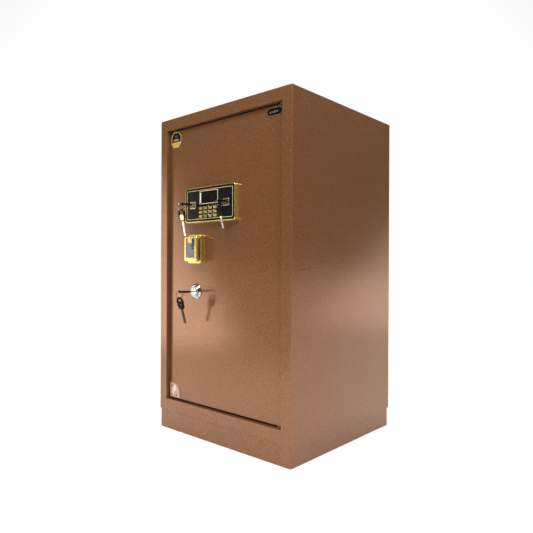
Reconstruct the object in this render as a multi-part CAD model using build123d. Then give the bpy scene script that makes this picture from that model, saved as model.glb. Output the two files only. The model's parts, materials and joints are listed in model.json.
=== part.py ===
"""Free-standing electronic safe: a double-walled steel cabinet on a plinth, with an inset door that
carries a keypad, two small key locks, a main key lock, a turning handle and the boltwork behind them.

Frame: millimetres, +Z up, the door faces -Y, and the origin is the middle of the footprint, on the floor.
Every sub-part is modelled where it sits with the door shut and the bolts withdrawn.
"""
import math
import os

from build123d import *

os.makedirs("parts", exist_ok=True)

# ---- cabinet ----
WIDTH, DEPTH, HEIGHT = 443.0, 414.0, 800.0
HALF_W, FRONT, BACK = WIDTH / 2, -DEPTH / 2, DEPTH / 2
SKIN = 3.0  # outer sheet
BEND = 2.9  # outside radius of the folded edges
PLINTH_H, PLINTH_INSET, PLINTH_FLANGE = 46.0, 2.0, 25.0
LINER = 2.0  # inner sheet

# ---- door opening, door and its pivot ----
OPEN_X, OPEN_Z0, OPEN_Z1 = 194.5, 76.5, 771.0
RECESS = 10.0  # door face behind the frame's front
GAP = 3.0  # round the door
PAN = 20.0  # depth of the folded door pan
DOOR_Y = FRONT + RECESS
DOOR_X, DOOR_Z0, DOOR_Z1 = OPEN_X - GAP, OPEN_Z0 + GAP, OPEN_Z1 - GAP
PAN_BACK = DOOR_Y + PAN
JAMB_BACK = -170.0  # where the frame's returns meet the inner liner
PIVOT_X, PIVOT_Y, PIN_R = DOOR_X - 12.0, DOOR_Y + 8.5, 4.5
RUNNING = 0.06  # radial clearance of a turning fit

# ---- inner liner ----
CAVITY_X, CAVITY_Z0, CAVITY_Z1, CAVITY_BACK = 186.5, 84.5, 763.0, 172.0
SHELF_Z, SHELF_T, SHELF_LIP = 438.0, 2.0, 18.0
ANCHOR_R = 6.5
FLOOR_ANCHORS = [(x, y) for x in (-150.0, 150.0) for y in (-110.0, 110.0)]
WALL_ANCHORS = [(-110.0, 600.0), (110.0, 600.0)]

# ---- boltwork casing behind the door pan ----
BOX_X0, BOX_X1, BOX_Z0, BOX_Z1 = -179.0, 165.0, 92.0, 755.0
BOX_BACK = -132.0
COVER = 2.0
BOLT_Y, BOLT_R, BOLT_TIP = -152.0, 11.0, -179.5
BOLT_ZS = (170.0, 425.0, 680.0)
DOWEL_R, DOWEL_TIP = 6.0, 190.0
DOWEL_ZS = (190.0, 425.0, 660.0)
THROW = 19.8  # bolt travel
PLATE_Y0, PLATE_Y1 = -167.0, -163.0  # carriage plate
STRIP_X0, STRIP_X1 = -148.0, -105.0  # upright strip of the carriage plate
GUIDE_X0, GUIDE_X1 = BOX_X0 - 1.0, STRIP_X0 - THROW - 0.7  # bushes end short of the thrown carriage
STUD_X, STUD_R = -136.0, 4.0
STUD_ZS = (215.0, 300.0, 550.0, 635.0)

# ---- door furniture, each at (x, z) on the door ----
PANEL_X, PANEL_Z, PANEL_W, PANEL_H, PANEL_R = -30.0, 570.0, 174.0, 84.5, 6.0
PANEL_Y = DOOR_Y - 12.0  # keypad front
BEZEL_RIM, FIELD_INSET, FASCIA_T = 1.8, 7.0, 3.0
DISPLAY_X, DISPLAY_Z, DISPLAY_W, DISPLAY_H = -31.3, 586.4, 51.5, 25.0
SURROUND_W, SURROUND_H = 65.0, 31.5
KEY_PITCH_X, KEY_PITCH_Z, KEY_W, KEY_H, KEY_PROUD = 16.9, 9.6, 12.0, 6.6, 1.8
KEY_X0, KEY_Z0 = -58.0, 560.6
LEFT_X, RIGHT_X, PANEL_LOCK_Z = -88.0, 28.5, 570.0
HANDLE_X, HANDLE_Z, SPINDLE_R = -81.8, 462.7, 6.0
HANDLE_FRONT, HANDLE_NECK, BASE_FRONT = DOOR_Y - 26.0, DOOR_Y - 18.5, DOOR_Y - 13.0
KNOB_W, KNOB_H, BASE_W, BASE_H = 46.0, 61.5, 47.4, 70.5
INSET_W, INSET_H, INSET_RISE, INSET_DEEP = 32.0, 48.0, 2.0, 1.6  # sunk panel in the knob's front
TAB_ASIDE, TAB_RISE, TAB_W, TAB_H, TAB_PROUD = -1.5, 20.5, 15.0, 13.0, 0.4  # thumb tab on the knob
NECK_W, NECK_H = 36.0, 50.0
GROOVE_Y0, GROOVE_Y1, GROOVE_DEEP = BASE_FRONT + 6.2, BASE_FRONT + 7.8, 1.2
CRANK = THROW / math.sqrt(2)
CRANK_Y0, CRANK_Y1, CRANK_WIDE, CRANK_PIN_R = -174.0, PLATE_Y0 - 1.0, 14.0, 4.0
MAIN_X, MAIN_Z = -88.7, 358.3
ROSE_R, ROSE_FLAT_R, ROSE_EDGE, ROSE_PROUD = 18.8, 14.8, 1.4, 5.0  # a disc with a broad sloping rim
SOLENOID_X, SOLENOID_Y, PLUNGER_R = -60.0, -165.0, 4.0
BATTERY_X, BATTERY_Z, BATTERY_W, BATTERY_H = 90.0, 250.0, 70.0, 66.0

# ---- nameplates ----
BADGE_T = 1.0
SHIELD_X, SHIELD_Z, SHIELD_W, SHIELD_H, SHIELD_CUT = -168.5, 746.0, 40.0, 41.0, 10.5
OVAL_X, OVAL_Z, OVAL_W, OVAL_H = 165.5, 754.0, 46.0, 19.5
CORNER_X0, CORNER_X1, CORNER_Z0, CORNER_Z1, CORNER_R = -189.5, -151.5, 82.0, 118.0, 26.0

# ---- locks ----
BODY_R, PLUG_R, LOCK_FACE, LOCK_BACK = 6.0, 4.4, PANEL_Y - 0.6, -172.0
SQUARE_W, SQUARE_H, SQUARE_WALL = 20.5, 17.0, 2.4
MAIN_FACE, MAIN_BACK, MAIN_BODY_R, MAIN_PLUG_R = DOOR_Y - 8.0, -174.0, 11.9, 9.0
KEYWAY_PLAY = 0.3  # between a blade and its keyway
KEYWAY_END = -180.0

# ---- keys: bow length, width and thickness, then blade length, depth and thickness ----
MAIN_KEY = dict(bow=32.0, wide=24.0, thick=4.0, blade=35.0, deep=7.6, gauge=2.0)
PANEL_KEY = dict(bow=30.0, wide=25.0, thick=4.0, blade=35.0, deep=6.2, gauge=1.8)
SMALL_KEY = dict(bow=24.0, wide=20.0, thick=4.0, blade=28.0, deep=5.8, gauge=1.8)
EYE_FRONT, EYE_END = 2.6, 10.8  # the half-moon eye, measured from the bow's end
WIRE_R, RING_R = 0.7, 10.0
RING_DROP, RING_IN = 8.8, 0.6  # a ring's centre below the top of its bow, and in from the bow's end
HANG = 4.6  # from a spare key's bow end down to the wire that carries it
KEY_SETS = {  # bow_y is the inserted key's bow end; the ring and spare key hang a little aside
    "main": dict(x=MAIN_X, z=MAIN_Z, bow_y=-250.5, size=MAIN_KEY, lean=17.0, aside=0.0),
    "left": dict(x=LEFT_X, z=PANEL_LOCK_Z, bow_y=-246.5, size=PANEL_KEY, lean=12.0, aside=0.0),
    "right": dict(x=RIGHT_X, z=PANEL_LOCK_Z, bow_y=-234.5, size=SMALL_KEY, lean=17.0, aside=2.0),
}


# ---- small helpers ----
def block(x0, x1, y0, y1, z0, z1):
    """A box between two corners."""
    return Pos((x0 + x1) / 2, (y0 + y1) / 2, (z0 + z1) / 2) * Box(x1 - x0, y1 - y0, z1 - z0)


def facing(x, z, y):
    """The plane that looks out of the door at (x, z), at depth y."""
    return Plane(origin=(x, y, z), x_dir=(1, 0, 0), z_dir=(0, -1, 0))


def plate(x, z, w, h, y0, y1, radius=0.0):
    """A rectangular plate that faces the front, from y0 at its front to y1."""
    shape = RectangleRounded(w, h, radius) if radius else Rectangle(w, h)
    return extrude(facing(x, z, y1) * shape, amount=y1 - y0)


def rod_y(x, z, y0, y1, r):
    return extrude(facing(x, z, y1) * Circle(r), amount=y1 - y0)


def rod_x(y, z, x0, x1, r):
    return Pos((x0 + x1) / 2, y, z) * Rot(0, 90, 0) * Cylinder(r, x1 - x0)


def rod_z(x, y, z0, z1, r):
    return Pos(x, y, (z0 + z1) / 2) * Cylinder(r, z1 - z0)


def ring_y(x, z, w, h, y0, y1, wall, radius=0.0):
    """A rectangular frame that faces the front, its outside w by h."""
    inner = max(radius - wall, 0.0)
    return plate(x, z, w, h, y0, y1, radius) - plate(x, z, w - 2 * wall, h - 2 * wall, y0, y1, inner)


def edges_at(shape, axis, value, tolerance=0.01):
    """The edges of shape that lie wholly in the plane axis = value."""
    low = [e for e in shape.edges() if abs(getattr(e.bounding_box().min, axis) - value) < tolerance]
    return [e for e in low if abs(getattr(e.bounding_box().max, axis) - value) < tolerance]


def solids_of(*shapes):
    """Several separate solids as one node."""
    return Compound(children=[s for shape in shapes for s in shape.solids()])


# ---- cabinet ----
def outer_shell():
    """Sides and top, one folded sheet."""
    y0 = FRONT + SKIN
    wrap = block(-HALF_W, HALF_W, y0, BACK, PLINTH_H, HEIGHT)
    top_edges = [e for e in edges_at(wrap, "Z", HEIGHT) if e.length > DEPTH - 2 * SKIN]
    wrap = fillet([e for e in top_edges if abs(abs(e.center().X) - HALF_W) < 0.01], SKIN)
    return wrap - block(-HALF_W + SKIN, HALF_W - SKIN, y0, BACK, PLINTH_H, HEIGHT - SKIN)


def base_panel():
    panel = block(-HALF_W + SKIN, HALF_W - SKIN, FRONT + SKIN, BACK - SKIN, PLINTH_H, PLINTH_H + SKIN)
    for x, y in FLOOR_ANCHORS:
        panel -= rod_z(x, y, PLINTH_H, PLINTH_H + SKIN, ANCHOR_R)
    return panel


def back_panel():
    panel = block(-HALF_W + SKIN, HALF_W - SKIN, BACK - SKIN, BACK, PLINTH_H, HEIGHT - SKIN)
    for x, z in WALL_ANCHORS:
        panel -= rod_y(x, z, BACK - SKIN, BACK, ANCHOR_R)
    return panel


def front_frame():
    """Face frame with folded outer edges and returns that line the door opening."""
    face = block(-HALF_W, HALF_W, FRONT, FRONT + SKIN, PLINTH_H, HEIGHT)
    corners = [e for e in edges_at(face, "Z", HEIGHT) if e.length < SKIN + 0.01]
    face = fillet(corners, SKIN)
    face = fillet(edges_at(face, "Y", FRONT), BEND)
    middle, tall = (OPEN_Z0 + OPEN_Z1) / 2, OPEN_Z1 - OPEN_Z0
    face -= plate(0, middle, 2 * OPEN_X, tall, FRONT, FRONT + SKIN)
    returns = ring_y(0, middle, 2 * (OPEN_X + SKIN), tall + 2 * SKIN, FRONT + SKIN, JAMB_BACK, SKIN)
    return face + returns - rod_z(PIVOT_X, PIVOT_Y, OPEN_Z0 - SKIN, OPEN_Z1 + SKIN, PIN_R)


def plinth():
    """Folded rails welded into a hollow square under the cabinet, with an inward flange at the top."""
    w, d = WIDTH - 2 * PLINTH_INSET, DEPTH - 2 * PLINTH_INSET
    rails = extrude(RectangleRounded(w, d, BEND), amount=PLINTH_H)
    rails -= extrude(Rectangle(w - 2 * SKIN, d - 2 * SKIN), amount=PLINTH_H - SKIN)
    reach = 2 * (SKIN + PLINTH_FLANGE)
    return rails - extrude(Rectangle(w - reach, d - reach), amount=PLINTH_H)


def inner_liner():
    """Five welded sheets: sides, top and bottom folded out at the front, and the back."""
    back, lip, edge = CAVITY_BACK + LINER, JAMB_BACK + LINER, OPEN_X + SKIN
    low, high = OPEN_Z0 - SKIN, OPEN_Z1 + SKIN
    left = block(-CAVITY_X - LINER, -CAVITY_X, JAMB_BACK, CAVITY_BACK, CAVITY_Z0, CAVITY_Z1)
    left += block(-edge, -CAVITY_X, JAMB_BACK, lip, low, high)
    right = mirror(left, Plane.YZ)
    bottom = block(-CAVITY_X - LINER, CAVITY_X + LINER, lip, CAVITY_BACK, CAVITY_Z0 - LINER, CAVITY_Z0)
    bottom += block(-CAVITY_X, CAVITY_X, JAMB_BACK, lip, low, CAVITY_Z0)
    top = block(-CAVITY_X - LINER, CAVITY_X + LINER, lip, CAVITY_BACK, CAVITY_Z1, CAVITY_Z1 + LINER)
    top += block(-CAVITY_X, CAVITY_X, JAMB_BACK, lip, CAVITY_Z1, high)
    rear = block(-CAVITY_X - LINER, CAVITY_X + LINER, CAVITY_BACK, back, CAVITY_Z0 - LINER, CAVITY_Z1 + LINER)
    for z in BOLT_ZS:
        left -= rod_x(BOLT_Y, z, -CAVITY_X - LINER, -CAVITY_X, BOLT_R + 1.5)
    for z in DOWEL_ZS:
        right -= rod_x(BOLT_Y, z, CAVITY_X, CAVITY_X + LINER, 2 * DOWEL_R)
    for x, y in FLOOR_ANCHORS:
        bottom -= rod_z(x, y, CAVITY_Z0 - LINER, CAVITY_Z0, ANCHOR_R)
    for x, z in WALL_ANCHORS:
        rear -= rod_y(x, z, CAVITY_BACK, back, ANCHOR_R)
    return solids_of(left, right, bottom, top, rear)


def shelf():
    """Sheet with a folded front lip."""
    side, front, back, edge = CAVITY_X - 2.0, -112.0, CAVITY_BACK - 3.0, SHELF_Z - SHELF_LIP
    sheet = block(-side, side, front, back, SHELF_Z - SHELF_T, SHELF_Z)
    sheet += block(-side, side, front, front + SHELF_T, edge, SHELF_Z)
    fold = [e for e in edges_at(sheet, "Z", SHELF_Z) if abs(e.center().Y - front) < 0.01]
    return fillet(fold, SHELF_T - 0.1)


def shelf_pegs():
    """Four pegs with a half collar that leaves their tops clear for the shelf."""
    r, reach, collar, collar_t = 4.0, 12.0, 6.0, 1.5
    top = SHELF_Z - SHELF_T
    pegs = []
    for side in (-1, 1):
        wall = side * CAVITY_X
        for y in (-80.0, 130.0):
            peg = rod_x(y, top - r, *sorted((wall, wall - side * reach)), r)
            peg += rod_x(y, top - r, *sorted((wall, wall - side * collar_t)), collar)
            pegs.append(peg - block(-HALF_W, HALF_W, y - collar, y + collar, top, top + collar))
    return solids_of(*pegs)


def hinge_pins():
    """Two headed pivot pins, with a thrust washer under the door."""
    head_r, head_t, engaged = 8.0, 3.0, 22.0
    top = rod_z(PIVOT_X, PIVOT_Y, DOOR_Z1 - engaged, OPEN_Z1 + SKIN, PIN_R)
    top += rod_z(PIVOT_X, PIVOT_Y, OPEN_Z1 + SKIN, OPEN_Z1 + SKIN + head_t, head_r)
    bottom = rod_z(PIVOT_X, PIVOT_Y, OPEN_Z0 - SKIN, DOOR_Z0 + engaged, PIN_R)
    bottom += rod_z(PIVOT_X, PIVOT_Y, OPEN_Z0 - SKIN - head_t, OPEN_Z0 - SKIN, head_r)
    washer = rod_z(PIVOT_X, PIVOT_Y, OPEN_Z0, DOOR_Z0 - 0.1, head_r)
    washer -= rod_z(PIVOT_X, PIVOT_Y, OPEN_Z0, DOOR_Z0, PIN_R)
    return solids_of(top, bottom, washer)


# ---- door ----
def door_panel():
    """Folded steel pan: the face with a return all round."""
    z_mid, tall = (DOOR_Z0 + DOOR_Z1) / 2, DOOR_Z1 - DOOR_Z0
    pan = plate(0, z_mid, 2 * DOOR_X, tall, DOOR_Y, PAN_BACK, 2.5)
    pan = fillet(edges_at(pan, "Y", DOOR_Y), 2.0)
    pan -= plate(0, z_mid, 2 * (DOOR_X - SKIN), tall - 2 * SKIN, DOOR_Y + SKIN, PAN_BACK)
    pan -= rod_z(PIVOT_X, PIVOT_Y, DOOR_Z0, DOOR_Z1, PIN_R + 0.4)
    for x in (LEFT_X, RIGHT_X):
        pan -= rod_y(x, PANEL_LOCK_Z, DOOR_Y, DOOR_Y + SKIN, BODY_R)
    pan -= rod_y(HANDLE_X, HANDLE_Z, DOOR_Y, DOOR_Y + SKIN, SPINDLE_R + 1.5)
    pan -= rod_y(MAIN_X, MAIN_Z, DOOR_Y, DOOR_Y + SKIN, MAIN_BODY_R)
    return pan - rod_y(DISPLAY_X, DISPLAY_Z, DOOR_Y, DOOR_Y + SKIN, 6.0)


def hinge_blocks():
    """Steel blocks in the hinge corners of the pan, bored for the pins."""
    x0, x1, y0, y1, tall = PIVOT_X - 14.0, DOOR_X - SKIN, DOOR_Y + SKIN, PAN_BACK - 2.0, 24.0
    blocks = []
    for z0 in (DOOR_Z0 + SKIN, DOOR_Z1 - SKIN - tall):
        piece = block(x0, x1, y0, y1, z0, z0 + tall)
        blocks.append(piece - rod_z(PIVOT_X, PIVOT_Y, z0, z0 + tall, PIN_R + RUNNING))
    return solids_of(*blocks)


def screw_places():
    """Where the casing's corner posts and the cover's screws are, as (x, z)."""
    x0, x1, z0, z1 = BOX_X0 + 7.0, BOX_X1 - 7.0, BOX_Z0 + 7.0, BOX_Z1 - 7.0
    heights = [z0 + i * (z1 - z0) / 3 for i in range(4)]
    return [(x, z) for x in (x0, x1) for z in heights]


def door_box():
    """Casing round the boltwork: a front flange that closes the pan, four walls and screw posts."""
    x_mid, z_mid = (BOX_X0 + BOX_X1) / 2, (BOX_Z0 + BOX_Z1) / 2
    w, h, wall = BOX_X1 - BOX_X0, BOX_Z1 - BOX_Z0, LINER
    pan_z = (DOOR_Z0 + DOOR_Z1) / 2
    flange = plate(0, pan_z, 2 * (DOOR_X - SKIN), DOOR_Z1 - DOOR_Z0 - 2 * SKIN, PAN_BACK - wall, PAN_BACK)
    box = flange + plate(x_mid, z_mid, w, h, PAN_BACK, BOX_BACK)
    box -= plate(x_mid, z_mid, w - 2 * wall, h - 2 * wall, PAN_BACK - wall, BOX_BACK)
    for x, z in screw_places():
        box += rod_y(x, z, BOX_BACK - 20.0, BOX_BACK, 6.0) - rod_y(x, z, BOX_BACK - 12.0, BOX_BACK, 2.0)
    for z in BOLT_ZS:
        box -= rod_x(BOLT_Y, z, BOX_X0, BOX_X0 + wall, BOLT_R + 3.0)
    for z in DOWEL_ZS:
        box -= rod_x(BOLT_Y, z, BOX_X1 - wall, BOX_X1, DOWEL_R)
    return box


def door_cover():
    """Inner cover sheet, with the battery opening."""
    x_mid, z_mid = (BOX_X0 + BOX_X1) / 2, (BOX_Z0 + BOX_Z1) / 2
    cover = plate(x_mid, z_mid, BOX_X1 - BOX_X0, BOX_Z1 - BOX_Z0, BOX_BACK, BOX_BACK + COVER, 2.0)
    for x, z in screw_places():
        cover -= rod_y(x, z, BOX_BACK, BOX_BACK + COVER, 2.2)
    return cover - plate(BATTERY_X, BATTERY_Z, BATTERY_W, BATTERY_H, BOX_BACK, BOX_BACK + COVER)


def cover_screws():
    screws = []
    for x, z in screw_places():
        y = BOX_BACK + COVER
        head = Pos(x, y + 1.0, z) * Rot(90, 0, 0) * Cylinder(3.8, 2.0)
        head = fillet(edges_at(head, "Y", y + 2.0), 1.2)
        head -= block(x - 2.0, x + 2.0, y + 1.0, y + 2.0, z - 0.5, z + 0.5)
        head -= block(x - 0.5, x + 0.5, y + 1.0, y + 2.0, z - 2.0, z + 2.0)
        screws.append(head + rod_y(x, z, y - 12.0, y, 1.95))
    return solids_of(*screws)


def hinge_side_dowels():
    """Fixed dowels that enter the liner as the door shuts."""
    rods = []
    for z in DOWEL_ZS:
        rod = rod_x(BOLT_Y, z, BOX_X1 - 8.0, DOWEL_TIP, DOWEL_R)
        rod = chamfer(edges_at(rod, "X", DOWEL_TIP), 1.5)
        rods.append(rod + rod_x(BOLT_Y, z, BOX_X1 - 8.0, BOX_X1 - LINER, DOWEL_R + 3.5))
    return solids_of(*rods)


def bolt_guides():
    """Flanged bushes in the casing's opening side."""
    bushes = []
    for z in BOLT_ZS:
        bush = rod_x(BOLT_Y, z, GUIDE_X0, GUIDE_X1, BOLT_R + 3.0)
        bush += rod_x(BOLT_Y, z, BOX_X0 + LINER, BOX_X0 + LINER + 3.0, BOLT_R + 5.5)
        bushes.append(bush - rod_x(BOLT_Y, z, GUIDE_X0, GUIDE_X1, BOLT_R + RUNNING))
    return solids_of(*bushes)


def carriage_studs():
    """Shouldered studs on the pan that the carriage plate slides along."""
    studs = []
    for z in STUD_ZS:
        stud = rod_y(STUD_X, z, DOOR_Y + SKIN, PLATE_Y1 + 0.5, STUD_R)
        studs.append(stud + rod_y(STUD_X, z, PLATE_Y1 + 0.5, PLATE_Y1 + 3.5, STUD_R + 3.0))
    return solids_of(*studs)


# ---- boltwork ----
def bolt_carriage():
    """Flat plate that joins the bolts: guide slots, the crank's slot and the plunger's notches."""
    z0, z1 = BOLT_ZS[0] - 20.0, BOLT_ZS[-1] + 20.0
    tongue_x1, tongue_z0, tongue_z1 = -28.0, 430.0, 500.0
    sheet = block(STRIP_X0, STRIP_X1, PLATE_Y0, PLATE_Y1, z0, z1)
    sheet += block(STRIP_X1, tongue_x1, PLATE_Y0, PLATE_Y1, tongue_z0, tongue_z1)
    inner = [e for e in sheet.edges().filter_by(Axis.Y) if abs(e.center().X - STRIP_X1) < 0.01]
    sheet = fillet([e for e in inner if abs(e.center().Z - (tongue_z0 + tongue_z1) / 2) < 36.0], 6.0)
    slot_r = STUD_R + 0.3
    for z in STUD_ZS:
        slot = SlotCenterToCenter(THROW + 1.0, 2 * slot_r)
        sheet -= extrude(facing(STUD_X + THROW / 2, z, PLATE_Y1) * slot, amount=PLATE_Y1 - PLATE_Y0)
    # the crank's pin hangs below the spindle, and rises and falls a little as it crosses
    low, high, play = HANDLE_Z - CRANK, HANDLE_Z - THROW / 2, CRANK_PIN_R + 0.6
    crank_slot = block(HANDLE_X + THROW / 2 - play, HANDLE_X + THROW / 2 + play,
                       PLATE_Y0, PLATE_Y1, low - play, high + play)
    sheet -= crank_slot
    for shift in (0.0, THROW):
        x = SOLENOID_X + shift
        sheet -= block(x - PLUNGER_R - 1, x + PLUNGER_R + 1, PLATE_Y0, PLATE_Y1, tongue_z1 - 10, tongue_z1)
    return sheet


def locking_bolts():
    """Round bolts with squared tails that seat on the carriage plate."""
    bolts = []
    for z in BOLT_ZS:
        bolt = rod_x(BOLT_Y, z, BOLT_TIP, STRIP_X0 + 5.0, BOLT_R)
        bolt = chamfer(edges_at(bolt, "X", BOLT_TIP), 1.5)
        tail = block(STRIP_X0 + 5.0, STRIP_X1 - 12.0, PLATE_Y1, BOLT_Y + BOLT_R, z - 10.0, z + 10.0)
        bolts.append(bolt + tail)
    return solids_of(*bolts)


def solenoid():
    """Coil body on a bracket, bored for the plunger."""
    x, y, z0, z1 = SOLENOID_X, SOLENOID_Y, 508.0, 548.0
    body = block(x - 15, x + 15, y - 13, y + 13, z0, z1)
    body = fillet(body.edges().filter_by(Axis.Z), 3.0)
    bracket = block(x - 12, x + 12, DOOR_Y + SKIN, y - 13, z0 + 6, z1 - 6)
    return body + bracket - rod_z(x, y, z0, z1, PLUNGER_R + 0.2)


def solenoid_plunger():
    x, y, z0 = SOLENOID_X, SOLENOID_Y, 502.0
    pin = rod_z(x, y, z0, 553.0, PLUNGER_R)
    pin = chamfer(edges_at(pin, "Z", z0), 1.0)
    return pin + rod_z(x, y, 558.0, 560.5, PLUNGER_R + 2.5) + rod_z(x, y, 553.0, 558.0, PLUNGER_R - 1.5)


def battery_box():
    """Plastic tray let into the cover, shut by its lid."""
    wall, deep = 1.6, 24.0
    y1 = BOX_BACK + COVER
    tray = plate(BATTERY_X, BATTERY_Z, BATTERY_W, BATTERY_H, y1 - deep, y1, 1.0)
    tray -= plate(BATTERY_X, BATTERY_Z, BATTERY_W - 2 * wall, BATTERY_H - 2 * wall,
                  y1 - deep + wall, y1 - wall)
    lid = plate(BATTERY_X, BATTERY_Z, BATTERY_W + 10, BATTERY_H + 10, y1, y1 + 2.5, 3.0)
    lid = fillet(edges_at(lid, "Y", y1 + 2.5), 1.0)
    for i in range(5):
        z = BATTERY_Z + BATTERY_H / 2 - 4 - 3 * i
        lid -= block(BATTERY_X - 10, BATTERY_X + 10, y1 + 1.7, y1 + 2.5, z - 0.6, z + 0.6)
    return tray + lid


# ---- keypad ----
def key_places():
    """Button names with their centres, row by row."""
    names = ("1", "2", "3", "clear", "4", "5", "6", "0", "7", "8", "9", "enter")
    for i, name in enumerate(names):
        yield name, KEY_X0 + (i % 4) * KEY_PITCH_X, KEY_Z0 - (i // 4) * KEY_PITCH_Z


def keypad_bezel():
    """Plated housing, open behind, whose rim frames the fascia."""
    rim, wall = BEZEL_RIM, 2.2
    shell = plate(PANEL_X, PANEL_Z, PANEL_W, PANEL_H, PANEL_Y, DOOR_Y, PANEL_R)
    shell = fillet(edges_at(shell, "Y", PANEL_Y), 1.0)
    shell -= plate(PANEL_X, PANEL_Z, PANEL_W - 2 * rim, PANEL_H - 2 * rim, PANEL_Y, PANEL_Y + 4.0,
                   PANEL_R - rim)
    return shell - plate(PANEL_X, PANEL_Z, PANEL_W - 2 * (rim + wall), PANEL_H - 2 * (rim + wall),
                         PANEL_Y + 4.0, DOOR_Y, PANEL_R - rim - wall)


def keypad_fascia():
    """Black front plate: a raised field, a bevelled display surround, and holes for keys and locks."""
    fit, base_y, back_y = 0.1, PANEL_Y + 0.8, PANEL_Y + FASCIA_T
    w, h = PANEL_W - 2 * (BEZEL_RIM + fit), PANEL_H - 2 * (BEZEL_RIM + fit)
    fascia = plate(PANEL_X, PANEL_Z, w, h, base_y, back_y, PANEL_R - BEZEL_RIM - fit)
    field = plate(PANEL_X, PANEL_Z, PANEL_W - 2 * FIELD_INSET, PANEL_H - 2 * FIELD_INSET, PANEL_Y, base_y)
    fascia += chamfer(edges_at(field, "Y", PANEL_Y), 0.5)
    surround = plate(DISPLAY_X, DISPLAY_Z, SURROUND_W, SURROUND_H, PANEL_Y - 1.0, PANEL_Y, 1.0)
    fascia += chamfer(edges_at(surround, "Y", PANEL_Y - 1.0), 0.8)
    fascia -= plate(DISPLAY_X, DISPLAY_Z, DISPLAY_W, DISPLAY_H, PANEL_Y - 1.0, back_y)
    for _, x, z in key_places():
        fascia -= plate(x, z, KEY_W + 0.6, KEY_H + 0.6, PANEL_Y, back_y, 1.2)
    for x in (LEFT_X, RIGHT_X):
        fascia -= rod_y(x, PANEL_LOCK_Z, PANEL_Y, back_y, BODY_R)
    return fascia


def display_window():
    """Tinted window, stepped so that it is held from behind."""
    front, back = PANEL_Y + 0.2, PANEL_Y + FASCIA_T
    window = plate(DISPLAY_X, DISPLAY_Z, DISPLAY_W - 0.2, DISPLAY_H - 0.2, front, back)
    return window + plate(DISPLAY_X, DISPLAY_Z, DISPLAY_W + 3, DISPLAY_H + 1.5, back, back + 0.8)


def keypad_board():
    """Circuit board with the display module on it."""
    y0, thick = PANEL_Y + 7.4, 1.6
    board = plate(PANEL_X, PANEL_Z, PANEL_W - 12, PANEL_H - 12, y0, y0 + thick)
    for x in (LEFT_X, RIGHT_X):
        board -= rod_y(x, PANEL_LOCK_Z, y0, y0 + thick, BODY_R + 1.0)
    return board + plate(DISPLAY_X, DISPLAY_Z, DISPLAY_W, DISPLAY_H, PANEL_Y + 4.2, y0)


def button(x, z):
    """One key cap with the flange that keeps it behind the fascia."""
    front, flange = PANEL_Y - KEY_PROUD, PANEL_Y + FASCIA_T + 0.2
    cap = plate(x, z, KEY_W, KEY_H, front, flange, 1.0)
    cap = fillet(edges_at(cap, "Y", front), 0.8)
    return cap + plate(x, z, KEY_W + 2, KEY_H + 1.4, flange, flange + 0.8, 1.0)


# ---- locks ----
def lock_surrounds():
    """Square plated trims round the two keypad locks."""
    trims = []
    for x in (LEFT_X, RIGHT_X):
        trim = plate(x, PANEL_LOCK_Z, SQUARE_W, SQUARE_H, PANEL_Y - 1.2, PANEL_Y, 1.2)
        trim = chamfer(edges_at(trim, "Y", PANEL_Y - 1.2), 0.5)
        inner_w, inner_h = SQUARE_W - 2 * SQUARE_WALL, SQUARE_H - 2 * SQUARE_WALL
        trims.append(trim - plate(x, PANEL_LOCK_Z, inner_w, inner_h, PANEL_Y - 1.2, PANEL_Y, 0.8))
    return solids_of(*trims)


def panel_lock_bodies():
    bodies = []
    for x in (LEFT_X, RIGHT_X):
        body = rod_y(x, PANEL_LOCK_Z, LOCK_FACE, LOCK_BACK, BODY_R)
        nut = extrude(facing(x, PANEL_LOCK_Z, DOOR_Y + SKIN + 5) * RegularPolygon(10.5, 6), amount=5)
        bodies.append(body + nut - rod_y(x, PANEL_LOCK_Z, LOCK_FACE, LOCK_BACK, PLUG_R + RUNNING))
    return solids_of(*bodies)


def lock_plug(x, z, face, back, r, key, cam_reach, cam_angle):
    """Turning plug: a keyway at the front and a cam on its tail."""
    plug = rod_y(x, z, face, back + 0.5, r)
    plug -= plate(x, z, key["deep"] + 2 * KEYWAY_PLAY, key["gauge"] + 2 * KEYWAY_PLAY, face, KEYWAY_END)
    cam = block(0, cam_reach, back + 0.5, back + 3.0, -3.8, 3.8)
    cam = fillet([e for e in cam.edges().filter_by(Axis.Y) if e.center().X > 1], 3.5)
    cam += rod_y(0, 0, back + 0.5, back + 3.0, r)
    return plug + Pos(x, 0, z) * Rot(0, cam_angle, 0) * cam


def main_lock_escutcheon():
    """Chromed rose with a sloping rim and a raised centre ring."""
    rose = rod_y(MAIN_X, MAIN_Z, DOOR_Y - ROSE_EDGE, DOOR_Y, ROSE_R)
    slope = ROSE_PROUD - ROSE_EDGE
    middle = Pos(MAIN_X, DOOR_Y - ROSE_EDGE - slope / 2, MAIN_Z)
    rose += middle * Rot(90, 0, 0) * Cone(ROSE_R, ROSE_FLAT_R, slope)
    rose += rod_y(MAIN_X, MAIN_Z, MAIN_FACE + 0.4, DOOR_Y - ROSE_PROUD, ROSE_FLAT_R - 1.5)
    rose = fillet(edges_at(rose, "Y", MAIN_FACE + 0.4), 0.8)
    return rose - rod_y(MAIN_X, MAIN_Z, MAIN_FACE, DOOR_Y, MAIN_BODY_R)


def main_lock_body():
    """Lever lock case behind the pan, with the barrel that comes out through the rose."""
    y0, y1 = DOOR_Y + SKIN, MAIN_BACK
    case = block(MAIN_X - 22, MAIN_X + 34, y0, y1, MAIN_Z - 21, MAIN_Z + 21)
    case = fillet(case.edges().filter_by(Axis.Y), 3.0)
    case += rod_y(MAIN_X, MAIN_Z, MAIN_FACE, y0, MAIN_BODY_R)
    return case - rod_y(MAIN_X, MAIN_Z, MAIN_FACE, y1, MAIN_PLUG_R + RUNNING)


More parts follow.
